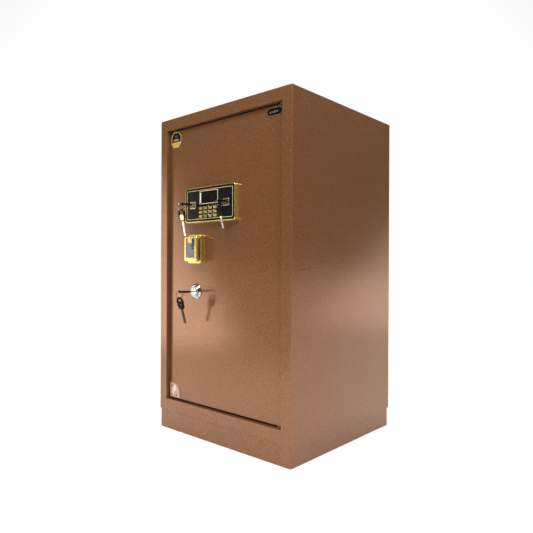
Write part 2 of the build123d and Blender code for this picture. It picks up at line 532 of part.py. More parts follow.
# ---- keys ----
def bow_outline(bow, wide):
    """Two round lobes joined by a waist, with tangent arcs."""
    r1, r2, r_waist = wide * 0.49, wide * 0.47, wide * 0.32
    span = bow - r2 - r1
    rise = ((r1 + r_waist) ** 2 - (r2 + r_waist) ** 2 + span ** 2) / (2 * span)
    reach = math.sqrt((r1 + r_waist) ** 2 - rise ** 2)
    corners = [(0, r1), (reach, r1 + rise), (0, bow - r2), (-reach, r1 + rise)]
    outline = make_face(Polyline(*corners, close=True))
    for side in (-1, 1):
        outline -= Pos(side * reach, r1 + rise) * Circle(r_waist)
    return outline + Pos(0, r1) * Circle(r1) + Pos(0, bow - r2) * Circle(r2)


def bow_eye(wide):
    """Half-moon eye, its round side to the bow's end."""
    r = wide * 0.32
    moon = Pos(0, EYE_FRONT + r) * Circle(r) - Pos(0, EYE_END + r) * Rectangle(3 * r, 2 * r)
    return fillet(moon.vertices(), 0.7)


def flat_key(bow, wide, thick, blade, deep, gauge):
    """A key in its own frame: bow end at the origin, blade along +Y, flat in XY."""
    tip, root = bow + blade, bow - 5.0
    grip = extrude(bow_outline(bow, wide), amount=thick / 2, both=True)
    grip = chamfer(edges_at(grip, "Z", thick / 2) + edges_at(grip, "Z", -thick / 2), 0.8)
    grip -= extrude(bow_eye(wide), amount=thick, both=True)
    shank = Pos(0, (root + tip) / 2, 0) * Box(deep, tip - root, gauge)
    grip -= shank
    for i in range(4):
        y, cut = tip - 5.0 - 4.2 * i, 0.8 + 0.5 * (i % 2)
        shank -= Pos(deep / 2, y, 0) * Box(2 * cut, 2.4, gauge)
        shank -= Pos(-deep / 2, y - 1.6, 0) * Box(2.1 - cut, 2.2, gauge)
    nose = [e for e in edges_at(shank, "Y", tip) if e.length < gauge + 0.01]
    return solids_of(grip, chamfer(nose, 1.2))


def key_set(name):
    """An inserted key, the ring that hangs over its bow's end, and the spare key on the ring."""
    part = KEY_SETS[name]
    x, z, y, size = part["x"], part["z"], part["bow_y"], part["size"]
    centre = Pos(x + part["aside"], y + RING_IN, z + size["thick"] / 2 - RING_DROP)
    hung = Pos(0.75 * part["aside"], 0, HANG) * Rot(-90, 0, 0) * flat_key(**size)
    return {
        f"{name}_key": Pos(x, y, z) * flat_key(**size),
        f"{name}_key_ring": centre * Rot(0, 90, 0) * Torus(RING_R, WIRE_R),
        f"{name}_spare_key": centre * Pos(0, 0, -RING_R) * Rot(part["lean"], 0, 0) * hung,
    }


# ---- handle ----
def handle_base():
    """Fixed plinth of the handle, with a groove round its edge."""
    base = plate(HANDLE_X, HANDLE_Z, BASE_W, BASE_H, BASE_FRONT, DOOR_Y, 6.0)
    base = fillet(edges_at(base, "Y", BASE_FRONT), 1.2)
    over = 1.0  # the cutter's reach outside the base
    base -= ring_y(HANDLE_X, HANDLE_Z, BASE_W + 2 * over, BASE_H + 2 * over, GROOVE_Y0, GROOVE_Y1,
                   GROOVE_DEEP + over, 6.0 + over)
    return base - rod_y(HANDLE_X, HANDLE_Z, BASE_FRONT, DOOR_Y, SPINDLE_R + RUNNING)


def handle_knob():
    """Turning grip: a framed plate on a narrower neck, with a thumb tab at the top."""
    grip = plate(HANDLE_X, HANDLE_Z, KNOB_W, KNOB_H, HANDLE_FRONT, HANDLE_NECK, 6.5)
    grip = fillet(edges_at(grip, "Y", HANDLE_FRONT), 2.0)
    grip = fillet(edges_at(grip, "Y", HANDLE_NECK), 1.0)
    sunk = HANDLE_FRONT + INSET_DEEP
    grip -= plate(HANDLE_X, HANDLE_Z + INSET_RISE, INSET_W, INSET_H, HANDLE_FRONT, sunk, 1.0)
    tab = plate(HANDLE_X + TAB_ASIDE, HANDLE_Z + TAB_RISE, TAB_W, TAB_H, HANDLE_FRONT - TAB_PROUD, sunk, 2.0)
    grip += tab + plate(HANDLE_X, HANDLE_Z, NECK_W, NECK_H, HANDLE_NECK, BASE_FRONT - 0.4, 4.0)
    return grip - rod_y(HANDLE_X, HANDLE_Z, HANDLE_NECK, BASE_FRONT, SPINDLE_R)


def handle_spindle():
    """Round spindle with the crank and its pin, which drives the carriage."""
    spindle = rod_y(HANDLE_X, HANDLE_Z, HANDLE_NECK, CRANK_Y1, SPINDLE_R)
    pin_x, pin_z = HANDLE_X + THROW / 2, HANDLE_Z - THROW / 2
    arm = SlotCenterToCenter(CRANK, CRANK_WIDE)
    middle = facing((HANDLE_X + pin_x) / 2, (HANDLE_Z + pin_z) / 2, CRANK_Y1)
    crank = extrude(middle * Rot(0, 0, -45) * arm, amount=CRANK_Y1 - CRANK_Y0)
    return spindle + crank + rod_y(pin_x, pin_z, CRANK_Y1, PLATE_Y1 + 2.0, CRANK_PIN_R)


# ---- badges ----
def badge_shield():
    """Eight-sided nameplate at the top of the opening side, left blank."""
    w, h, cut = SHIELD_W / 2, SHIELD_H / 2, SHIELD_CUT
    outline = Polyline((-w, cut - h), (-w, h - cut), (cut - w, h), (w - cut, h),
                       (w, h - cut), (w, cut - h), (w - cut, -h), (cut - w, -h), close=True)
    return extrude(facing(SHIELD_X, SHIELD_Z, DOOR_Y) * make_face(outline), amount=BADGE_T)


def badge_oval():
    """Round-ended nameplate at the top of the hinge side, left blank."""
    return extrude(facing(OVAL_X, OVAL_Z, DOOR_Y) * SlotOverall(OVAL_W, OVAL_H), amount=BADGE_T)


def badge_corner():
    """Nameplate in the lower corner, with one large rounded corner, left blank."""
    sheet = block(CORNER_X0, CORNER_X1, DOOR_Y - BADGE_T, DOOR_Y, CORNER_Z0, CORNER_Z1)
    far_edges = [e for e in sheet.edges().filter_by(Axis.Y) if e.center().X > CORNER_X1 - 1]
    return fillet([e for e in far_edges if e.center().Z > CORNER_Z1 - 1], CORNER_R)


# ---- every node, by name ----
nodes = {
    "outer_shell": outer_shell(),
    "base_panel": base_panel(),
    "back_panel": back_panel(),
    "front_frame": front_frame(),
    "plinth": plinth(),
    "inner_liner": inner_liner(),
    "shelf": shelf(),
    "shelf_pegs": shelf_pegs(),
    "hinge_pins": hinge_pins(),
    "door_panel": door_panel(),
    "hinge_blocks": hinge_blocks(),
    "door_box": door_box(),
    "door_cover": door_cover(),
    "cover_screws": cover_screws(),
    "hinge_side_dowels": hinge_side_dowels(),
    "bolt_guides": bolt_guides(),
    "carriage_studs": carriage_studs(),
    "bolt_carriage": bolt_carriage(),
    "locking_bolts": locking_bolts(),
    "solenoid": solenoid(),
    "solenoid_plunger": solenoid_plunger(),
    "battery_box": battery_box(),
    "keypad_bezel": keypad_bezel(),
    "keypad_fascia": keypad_fascia(),
    "display_window": display_window(),
    "keypad_board": keypad_board(),
    "lock_surrounds": lock_surrounds(),
    "panel_lock_bodies": panel_lock_bodies(),
    "main_lock_escutcheon": main_lock_escutcheon(),
    "main_lock_body": main_lock_body(),
    "handle_base": handle_base(),
    "handle_knob": handle_knob(),
    "handle_spindle": handle_spindle(),
    "badge_shield": badge_shield(),
    "badge_oval": badge_oval(),
    "badge_corner": badge_corner(),
}
for name, x, z in key_places():
    nodes[f"button_{name}"] = button(x, z)
nodes["left_lock_plug"] = lock_plug(LEFT_X, PANEL_LOCK_Z, LOCK_FACE - 0.4, LOCK_BACK, PLUG_R,
                                    PANEL_KEY, 15.0, 0.0)
nodes["right_lock_plug"] = lock_plug(RIGHT_X, PANEL_LOCK_Z, LOCK_FACE - 0.4, LOCK_BACK, PLUG_R,
                                     SMALL_KEY, 15.0, 0.0)
nodes["main_lock_plug"] = lock_plug(MAIN_X, MAIN_Z, MAIN_FACE - 0.4, MAIN_BACK, MAIN_PLUG_R,
                                    MAIN_KEY, 20.0, -90.0)
for name in KEY_SETS:
    nodes.update(key_set(name))

for name, shape in nodes.items():
    shape.label = name
    export_step(shape, f"parts/{name}.step")
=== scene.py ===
"""Looks of the safe: materials for every CAD node, fine detail on the keypad, handle, locks and keys,
and the studio. Metres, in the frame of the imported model."""
import json
import math

import bmesh
import bpy
from mathutils import Matrix, Vector


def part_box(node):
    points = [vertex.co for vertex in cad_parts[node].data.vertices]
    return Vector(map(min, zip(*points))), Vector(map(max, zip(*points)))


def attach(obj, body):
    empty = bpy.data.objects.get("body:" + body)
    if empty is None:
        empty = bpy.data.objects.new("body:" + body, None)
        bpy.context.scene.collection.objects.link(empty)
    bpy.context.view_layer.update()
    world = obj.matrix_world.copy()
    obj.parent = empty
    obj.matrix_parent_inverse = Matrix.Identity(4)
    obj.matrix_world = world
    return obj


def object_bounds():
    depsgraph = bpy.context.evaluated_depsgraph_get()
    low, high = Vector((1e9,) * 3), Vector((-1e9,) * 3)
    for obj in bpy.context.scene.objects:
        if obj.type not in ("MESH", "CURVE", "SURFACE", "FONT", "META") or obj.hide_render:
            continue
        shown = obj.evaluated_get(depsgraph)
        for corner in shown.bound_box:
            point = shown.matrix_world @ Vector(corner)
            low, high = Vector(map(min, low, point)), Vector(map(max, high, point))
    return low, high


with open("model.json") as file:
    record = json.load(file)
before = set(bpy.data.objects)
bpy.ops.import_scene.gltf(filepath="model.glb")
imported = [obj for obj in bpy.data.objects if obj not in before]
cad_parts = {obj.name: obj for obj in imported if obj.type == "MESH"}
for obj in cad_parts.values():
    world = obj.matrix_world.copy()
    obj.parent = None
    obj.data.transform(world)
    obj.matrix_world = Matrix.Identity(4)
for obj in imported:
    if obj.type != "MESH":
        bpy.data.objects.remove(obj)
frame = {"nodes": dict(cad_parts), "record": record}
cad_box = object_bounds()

MM = 0.001
DIM_SIDE, CEILING = 0.10, 0.22  # the surroundings away from the backdrop and overhead, against white
DOOR_LIGHT, SIDE_LIGHT, FILL_LIGHT, TOP_LIGHT = 14.0, 12.5, 31.0, 2.7  # watts, and watts per square metre
DOOR_SLANT, SIDE_SLANT = 66.0, 48.0  # degrees
NODES = frame["nodes"]
LEAN = {"main": 17.0, "left": 12.0, "right": 17.0}  # degrees, how far each spare key hangs from upright
CAMERA_TURN = (41.586, -0.064, 0.251)  # degrees: azimuth, pitch and roll
CAMERA_PLACE = (0.8836, -1.0310, 0.4219)  # from the foot of the cabinet's upright axis
LENS, SENSOR = 34.566, 36.0  # millimetres
BEHIND_SAFE = (-0.66, 0.75, 0.0)  # the way the camera looks, where the surroundings are white


# ---- places, read from the frame ----
def middle(node):
    low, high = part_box(node)
    return (low + high) / 2


def size(node):
    low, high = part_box(node)
    return high - low


def front(node):
    """How far forward the node reaches: the lowest y."""
    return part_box(node)[0].y


BUTTONS = ("1", "2", "3", "clear", "4", "5", "6", "0", "7", "8", "9", "enter")
LEGENDS = dict(zip(BUTTONS, ("1", "2", "3", "*", "4", "5", "6", "0", "7", "8", "9", "#")))


# ---- material tools ----
RANGE_SOCKETS = ("From Min", "From Max", "To Min", "To Max")


class Surface:
    """A material with one Principled shader, and short ways to add nodes to it."""

    def __init__(self, name, color, metallic=0.0, roughness=0.5, **constants):
        self.material = bpy.data.materials.new(name)
        self.material.use_nodes = True
        self.tree = self.material.node_tree
        self.shader = self.tree.nodes["Principled BSDF"]
        self.shader.inputs["Base Color"].default_value = (*color, 1.0)
        self.shader.inputs["Metallic"].default_value = metallic
        self.shader.inputs["Roughness"].default_value = roughness
        for socket, value in constants.items():
            self.shader.inputs[socket.replace("_", " ")].default_value = value
        self.place = self.add("ShaderNodeTexCoord").outputs["Object"]

    def add(self, kind, **settings):
        node = self.tree.nodes.new(kind)
        for key, value in settings.items():
            setattr(node, key, value)
        return node

    def wire(self, source, target):
        self.tree.links.new(source, target)

    def stretched(self, scale):
        """The place, scaled along each axis, for brushed or drawn patterns."""
        node = self.add("ShaderNodeMapping")
        node.inputs["Scale"].default_value = scale
        self.wire(self.place, node.inputs["Vector"])
        return node.outputs["Vector"]

    def noise(self, scale, detail=2.0, rough=0.5, vector=None):
        node = self.add("ShaderNodeTexNoise")
        node.inputs["Scale"].default_value = scale
        node.inputs["Detail"].default_value = detail
        node.inputs["Roughness"].default_value = rough
        self.wire(vector or self.place, node.inputs["Vector"])
        return node.outputs["Fac"]

    def cells(self, scale, feature="SMOOTH_F1"):
        node = self.add("ShaderNodeTexVoronoi", feature=feature)
        node.inputs["Scale"].default_value = scale
        self.wire(self.place, node.inputs["Vector"])
        return node.outputs["Distance"]

    def spread(self, value, low, high, to_low=0.0, to_high=1.0):
        """Maps low..high of a value to another range, clamped."""
        node = self.add("ShaderNodeMapRange")
        for socket, number in zip(RANGE_SOCKETS, (low, high, to_low, to_high)):
            node.inputs[socket].default_value = number
        self.wire(value, node.inputs["Value"])
        return node.outputs["Result"]

    def maths(self, operation, a, b):
        node = self.add("ShaderNodeMath", operation=operation)
        for socket, item in zip(node.inputs, (a, b)):
            if isinstance(item, (int, float)):
                socket.default_value = item
            else:
                self.wire(item, socket)
        return node.outputs["Value"]

    def mix(self, amount, a, b):
        """A colour between a and b; each is a colour or a socket."""
        node = self.add("ShaderNodeMix", data_type="RGBA")
        self.wire(amount, node.inputs["Factor"])
        for socket, item in zip((node.inputs[6], node.inputs[7]), (a, b)):
            if isinstance(item, tuple):
                socket.default_value = (*item, 1.0)
            else:
                self.wire(item, socket)
        return node.outputs[2]

    def color(self, socket):
        self.wire(socket, self.shader.inputs["Base Color"])

    def roughness(self, socket):
        self.wire(socket, self.shader.inputs["Roughness"])

    def bump(self, height, strength, distance):
        """Adds relief under any that is there already."""
        node = self.add("ShaderNodeBump")
        node.inputs["Strength"].default_value = strength
        node.inputs["Distance"].default_value = distance
        self.wire(height, node.inputs["Height"])
        normal = self.shader.inputs["Normal"]
        if normal.links:
            self.wire(normal.links[0].from_socket, node.inputs["Normal"])
        self.wire(node.outputs["Normal"], normal)

    def edge(self, radius, low=0.02, high=0.25):
        """1 along the outer edges, fading to 0 within the radius."""
        bevel = self.add("ShaderNodeBevel", samples=4)
        bevel.inputs["Radius"].default_value = radius
        geometry = self.add("ShaderNodeNewGeometry")
        dot = self.add("ShaderNodeVectorMath", operation="DOT_PRODUCT")
        self.wire(bevel.outputs["Normal"], dot.inputs[0])
        self.wire(geometry.outputs["Normal"], dot.inputs[1])
        return self.spread(self.maths("SUBTRACT", 1.0, dot.outputs["Value"]), low, high)


def part_of(surface, axis):
    """One axis of the object's own coordinates."""
    node = surface.add("ShaderNodeSeparateXYZ")
    surface.wire(surface.place, node.inputs["Vector"])
    return node.outputs[axis]


# ---- materials ----
def hammertone():
    """Brown textured powder coat: orange-peel relief, fine pale flecks, and edges lightened as rubbed wear
    and as a painted highlight.
    """
    base, light, dark = (0.262, 0.114, 0.044), (0.40, 0.225, 0.132), (0.182, 0.076, 0.028)
    s = Surface("brown_hammertone", base, metallic=0.42, roughness=0.2, Coat_Weight=0.1, Coat_Roughness=0.15)
    peel = s.noise(330, 3.0, 0.6)
    hammer = s.cells(280)
    flecks = s.noise(480, 2.0, 0.7)
    tone = s.mix(s.spread(peel, 0.35, 0.68), dark, base)
    tone = s.mix(s.spread(flecks, 0.56, 0.70, 0.0, 0.45), tone, light)
    tone = s.mix(s.spread(s.noise(4.0, 3.0), 0.35, 0.7, 0.0, 0.18), tone, dark)
    # Lighter along the outer edges: partly rubbed wear, partly a painted highlight along the edges.
    edge_wear_and_highlight = s.maths("MULTIPLY", s.edge(1.2 * MM), s.spread(s.noise(60, 4.0, 0.7), 0.42, 0.62, 0.1, 0.75))
    s.color(s.mix(edge_wear_and_highlight, tone, light))
    s.roughness(s.spread(s.noise(260, 3.0), 0.3, 0.7, 0.12, 0.2))
    s.bump(hammer, 0.32, 0.35 * MM)
    s.bump(peel, 0.25, 0.3 * MM)
    return s.material


def inner_coat():
    """Plainer satin coat for the inside."""
    s = Surface("inner_coat", (0.19, 0.105, 0.062), roughness=0.5)
    peel = s.noise(420, 2.0, 0.55)
    s.color(s.mix(s.spread(peel, 0.3, 0.7), (0.16, 0.088, 0.052), (0.22, 0.125, 0.077)))
    s.roughness(s.spread(s.noise(90, 3.0), 0.3, 0.7, 0.42, 0.6))
    s.bump(peel, 0.25, 0.25 * MM)
    return s.material


def gold(name="gold", roughness=0.2, color=(0.92, 0.72, 0.24), metallic=0.9):
    """Gold plate: polished, with fine hairlines and a cloudy deeper tone."""
    s = Surface(name, color, metallic=metallic, roughness=roughness)
    hairs = s.noise(900, 2.0, 0.6, s.stretched((0.25, 1.0, 3.0)))
    cloud = s.noise(35, 3.0, 0.6)
    deep = tuple(c * 0.62 for c in color)
    s.color(s.mix(s.spread(cloud, 0.35, 0.75, 0.0, 0.45), color, deep))
    s.roughness(s.spread(hairs, 0.3, 0.7, roughness * 0.7, roughness * 1.6))
    s.bump(hairs, 0.06, 0.1 * MM)
    return s.material


def key_caps():
    """Gilt-faced caps, near-black on all other faces as painted shade that darkens the gaps between the caps.
    """
    s = Surface("key_caps", (0.01, 0.01, 0.01), roughness=0.3)
    split = s.add("ShaderNodeSeparateXYZ")
    s.wire(s.add("ShaderNodeTexCoord").outputs["Normal"], split.inputs["Vector"])
    faces_front = s.spread(split.outputs["Y"], -0.85, -0.97)
    wear = s.spread(s.noise(300, 4.0, 0.6), 0.4, 0.75, 0.0, 0.5)
    worn_and_dark_reflection = s.mix(wear, (0.90, 0.66, 0.22), (0.60, 0.40, 0.12))
    # Near-black on every face but the front: painted shade for the gaps between the caps.
    s.color(s.mix(faces_front, (0.01, 0.01, 0.01), worn_and_dark_reflection))
    s.wire(faces_front, s.shader.inputs["Metallic"])
    s.bump(s.noise(900, 2.0), 0.06, 0.1 * MM)
    return s.material


def chrome():
    s = Surface("chrome", (0.42, 0.42, 0.43), metallic=1.0, roughness=0.08)
    hairs = s.noise(700, 2.0, 0.6, s.stretched((2.0, 1.0, 0.4)))
    s.roughness(s.spread(hairs, 0.35, 0.75, 0.05, 0.16))
    s.color(s.mix(s.spread(s.noise(60, 3.0), 0.45, 0.75, 0.0, 0.3), (0.42, 0.42, 0.43), (0.30, 0.30, 0.31)))
    return s.material


def steel(name="zinc_steel", color=(0.58, 0.57, 0.55), roughness=0.3):
    """Zinc-plated steel with the spangle and drawn lines of rolled stock."""
    s = Surface(name, color, metallic=1.0, roughness=roughness)
    drawn = s.noise(300, 3.0, 0.6, s.stretched((1.0, 1.0, 8.0)))
    spangle = s.cells(160, "F1")
    dull = tuple(c * 0.7 for c in color)
    s.color(s.mix(s.spread(spangle, 0.1, 0.7, 0.0, 0.5), color, dull))
    s.roughness(s.spread(drawn, 0.3, 0.7, roughness * 0.8, roughness * 1.5))
    s.bump(drawn, 0.08, 0.1 * MM)
    return s.material


def black_plastic(name="black_plastic", roughness=0.42, tone=0.018, shine=0.5):
    """Moulded plastic with a fine spark-eroded grain."""
    s = Surface(name, (tone, tone, tone * 1.05), roughness=roughness, Specular_IOR_Level=shine)
    grain = s.cells(1500, "F1")
    dust = s.spread(s.noise(55, 5.0, 0.7), 0.5, 0.8, 0.0, 0.5)
    s.color(s.mix(dust, (tone, tone, tone * 1.05), (tone * 2.2, tone * 2.1, tone * 2.0)))
    s.roughness(s.spread(s.noise(160, 3.0), 0.3, 0.7, roughness * 0.8, roughness * 1.25))
    s.bump(grain, 0.12, 0.1 * MM)
    return s.material


def display_glass():
    s = Surface("display_glass", (0.010, 0.006, 0.004), roughness=0.06, Specular_IOR_Level=0.3)
    smear = s.noise(45, 4.0, 0.65)
    s.color(s.mix(s.spread(smear, 0.4, 0.7), (0.008, 0.005, 0.003), (0.016, 0.010, 0.007)))
    s.roughness(s.spread(smear, 0.35, 0.75, 0.04, 0.16))
    return s.material


def circuit_board():
    s = Surface("circuit_board", (0.02, 0.12, 0.05), roughness=0.35)
    tracks = s.add("ShaderNodeTexBrick")
    tracks.inputs["Scale"].default_value = 260
    s.wire(s.place, tracks.inputs["Vector"])
    s.color(s.mix(tracks.outputs["Fac"], (0.02, 0.12, 0.05), (0.05, 0.22, 0.09)))
    s.bump(tracks.outputs["Fac"], 0.2, 0.05 * MM)
    return s.material


def key_material(name, bow_ends_at, axis, way, plate=(0.72, 0.70, 0.66), collar=3.5 * MM):
    """Black moulded bow, gilt collar and plated blade, told apart along an axis; way is 1 or -1."""
    bow_tone = (0.003, 0.003, 0.003)
    s = Surface(name, bow_tone, roughness=0.5, Specular_IOR_Level=0.05)
    along = s.maths("MULTIPLY", s.maths("SUBTRACT", part_of(s, axis), bow_ends_at), way)
    is_blade = s.spread(along, -0.02 * MM, 0.02 * MM)
    is_plain = s.spread(along, collar, collar + 0.2 * MM)
    cloud = s.noise(220, 3.0, 0.6)
    silver = s.mix(s.spread(cloud, 0.35, 0.7), plate, tuple(0.72 * c for c in plate))
    plated = s.mix(is_plain, (0.88, 0.66, 0.25), silver)
    shell = s.mix(s.spread(s.noise(300, 4.0), 0.4, 0.75), bow_tone, tuple(2.5 * c for c in bow_tone))
    s.color(s.mix(is_blade, shell, plated))
    s.wire(is_blade, s.shader.inputs["Metallic"])
    s.roughness(s.spread(cloud, 0.3, 0.7, 0.25, 0.42))
    s.bump(s.noise(1200, 2.0), 0.1, 0.08 * MM)
    return s.material


def enamel(name, color, roughness=0.25):
    """Nameplate enamel with faint mottling."""
    s = Surface(name, color, roughness=roughness, Specular_IOR_Level=0.12)
    pale = tuple(min(1.0, c * 1.6 + 0.003) for c in color)
    s.color(s.mix(s.spread(s.noise(180, 4.0, 0.6), 0.35, 0.7), color, pale))
    s.bump(s.noise(600, 2.0), 0.08, 0.05 * MM)
    return s.material


def foil():
    """Satin silver foil with a rosy cast."""
    s = Surface("foil", (0.50, 0.30, 0.22), metallic=0.4, roughness=0.34)
    brushed = s.noise(500, 2.0, 0.6, s.stretched((0.3, 1.0, 4.0)))
    s.color(s.mix(s.spread(brushed, 0.3, 0.7), (0.54, 0.33, 0.25), (0.42, 0.25, 0.18)))
    s.roughness(s.spread(brushed, 0.3, 0.7, 0.26, 0.45))
    s.bump(brushed, 0.1, 0.05 * MM)
    return s.material


def grey_satin():
    """The handle's inset: fine-blasted grey metal."""
    s = Surface("grey_satin", (0.13, 0.145, 0.16), metallic=0.2, roughness=0.32)
    blasted = s.noise(1500, 3.0, 0.7)
    s.color(s.mix(s.spread(s.noise(40, 3.0), 0.3, 0.7), (0.12, 0.135, 0.15), (0.18, 0.19, 0.20)))
    s.roughness(s.spread(blasted, 0.3, 0.7, 0.25, 0.42))
    s.bump(blasted, 0.15, 0.05 * MM)
    return s.material


def ink(name, color):
    s = Surface(name, color, roughness=0.5)
    s.color(s.mix(s.spread(s.noise(800, 2.0), 0.3, 0.7), color, tuple(c * 0.7 for c in color)))
    return s.material


def floor_material():
    """White near the safe and behind it, a little greyer in front as painted shade."""
    s = Surface("floor", (0.93, 0.93, 0.93), roughness=0.6)
    paper = s.mix(s.spread(s.noise(3.0, 3.0), 0.3, 0.7), (0.93, 0.93, 0.93), (0.90, 0.90, 0.90))
    forward = s.add("ShaderNodeVectorMath", operation="DOT_PRODUCT")
    forward.inputs[1].default_value = (-0.33, -0.945, 0.0)
    s.wire(s.place, forward.inputs[0])
    # Greyer in front: painted shade on the floor, dimming its reflection in the door.
    s.color(s.mix(s.spread(forward.outputs["Value"], 0.72, 1.4), paper, (0.55, 0.55, 0.55)))
    return s.material


# ---- mesh tools ----
def new_object(name, mesh):
    obj = bpy.data.objects.new(name, mesh)
    bpy.context.scene.collection.objects.link(obj)
    return obj


def finish_mesh(name, bm, material, smooth=True):
    bmesh.ops.recalc_face_normals(bm, faces=bm.faces)
    mesh = bpy.data.meshes.new(name)
    bm.to_mesh(mesh)
    bm.free()
    for polygon in mesh.polygons:
        polygon.use_smooth = smooth
    mesh.materials.append(material)
    return new_object(name, mesh)


def rounded_outline(width, height, radius, steps=6):
    """Points of a rounded rectangle round the origin, anticlockwise."""
    points = []
    corners = ((1, 1, 0), (-1, 1, 90), (-1, -1, 180), (1, -1, 270))
    for sx, sz, start in corners:
        centre = Vector((sx * (width / 2 - radius), sz * (height / 2 - radius)))
        for i in range(steps + 1):
            angle = math.radians(start + 90 * i / steps)
            points.append(centre + radius * Vector((math.cos(angle), math.sin(angle))))
    return points


def octagon_outline(width, height, cut):
    w, h = width / 2, height / 2
    return [Vector(p) for p in ((w, cut - h), (w, h - cut), (w - cut, h), (cut - w, h),
                                (-w, h - cut), (-w, cut - h), (cut - w, -h), (w - cut, -h))]


def loop_at(bm, outline, x, y, z):
    return [bm.verts.new((x + p.x, y, z + p.y)) for p in outline]


def bridge(bm, loop_a, loop_b):
    count = len(loop_a)
    for i in range(count):
        j = (i + 1) % count
        bm.faces.new((loop_a[i], loop_a[j], loop_b[j], loop_b[i]))


def trim_frame(name, outline_of, inset, width, place, back, proud, material):
    """A raised rounded line that follows an outline: outline_of(inset) gives its points."""
    x, z = place
    bm = bmesh.new()
    shoulder = min(width * 0.28, proud)
    rows = (
        (inset, back), (inset, back - proud + shoulder), (inset + shoulder, back - proud),
        (inset + width - shoulder, back - proud), (inset + width, back - proud + shoulder),
        (inset + width, back),
    )
    loops = [loop_at(bm, outline_of(d), x, y, z) for d, y in rows]
    for a, b in zip(loops, loops[1:] + loops[:1]):
        bridge(bm, a, b)
    return finish_mesh(name, bm, material, smooth=False)


def pad(name, outline_of, place, back, proud, material, soften=0.3 * MM, crown=0.0):
    """A plate with a softened front edge, its front crowned a little."""
    x, z = place
    bm = bmesh.new()
    rows = ((0.0, back), (0.0, back - proud + soften), (soften * 0.3, back - proud + soften * 0.3),
            (soften, back - proud))
    loops = [loop_at(bm, outline_of(d), x, y, z) for d, y in rows]
    for a, b in zip(loops, loops[1:]):
        bridge(bm, a, b)
    tip = bm.verts.new((x, back - proud - crown, z))
    last = loops[-1]
    for i, vert in enumerate(last):
        bm.faces.new((vert, last[(i + 1) % len(last)], tip))
    bm.faces.new(loops[0])
    return finish_mesh(name, bm, material, smooth=crown > 0)


def rounded(width, height, radius):
    """An outline maker for pad and trim_frame."""
    def outline(inset):
        return rounded_outline(width - 2 * inset, height - 2 * inset, max(radius - inset, 0.05 * MM))
    return outline


def octagon(width, height, cut):
    def outline(inset):
        return octagon_outline(width - 2 * inset, height - 2 * inset, cut - inset * 0.59)
    return outline


def digit(name, text, height, place, y, material, depth=0.05 * MM):
    """One upright character facing the front, centred at place."""
    curve = bpy.data.curves.new(name, "FONT")
    curve.body = text
    curve.size = height
    curve.extrude = depth
    curve.align_x = "CENTER"
    curve.align_y = "CENTER"
    letter = new_object(name, curve)
    letter.matrix_world = Matrix.Translation((place[0], y, place[1])) @ Matrix.Rotation(math.pi / 2, 4, "X")
    bpy.context.view_layer.update()
    mesh = bpy.data.meshes.new_from_object(letter)
    mesh.transform(letter.matrix_world)
    bpy.data.objects.remove(letter)
    mesh.materials.clear()
    mesh.materials.append(material)
    return new_object(name, mesh)


# ---- pieces ----
def keypad_details(gold_line, white_ink, glint_paint):
    """Gold line on the fascia, the display's frame with a white strip along its left edge as a painted
    highlight, and the key legends.
    """
    bezel, fascia = middle("keypad_bezel"), size("keypad_fascia")
    face = front("lock_surrounds") + 1.2 * MM  # the fascia's raised field
    field = rounded(fascia.x - 10.2 * MM, fascia.z - 10.2 * MM, 3 * MM)
    line = trim_frame("fascia_line", field, 0.0, 1.1 * MM, (bezel.x, bezel.z), face + 0.25 * MM, 0.45 * MM,
                      gold_line)
    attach(line, "door")
    window, window_size = middle("display_window"), size("display_window")
    ring = rounded(window_size.x + 10.5 * MM, window_size.z + 5.0 * MM, 1.2 * MM)
    frame_piece = trim_frame("display_frame", ring, 0.0, 1.5 * MM, (window.x, window.z), face, 1.15 * MM,
                             gold_line)
    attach(frame_piece, "door")
    # A white strip along the display's left edge: a painted highlight standing in for the glint on the
    # frame's bevel.
    left_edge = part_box("display_window")[0].x - 0.6 * MM
    glint_strip = pad("display_glint", rounded(3.2 * MM, window_size.z - 2.0 * MM, 0.4 * MM), (left_edge, window.z),
                face - 0.95 * MM, 0.25 * MM, glint_paint, 0.1 * MM)
    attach(glint_strip, "door")
    for name in BUTTONS:
        cap = middle(f"button_{name}")
        place = (cap.x + 8.2 * MM, cap.z + 3.2 * MM)
        legend = digit(f"legend_{name}", LEGENDS[name], 6.0 * MM, place, face - 0.06 * MM, white_ink)
        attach(legend, "door")


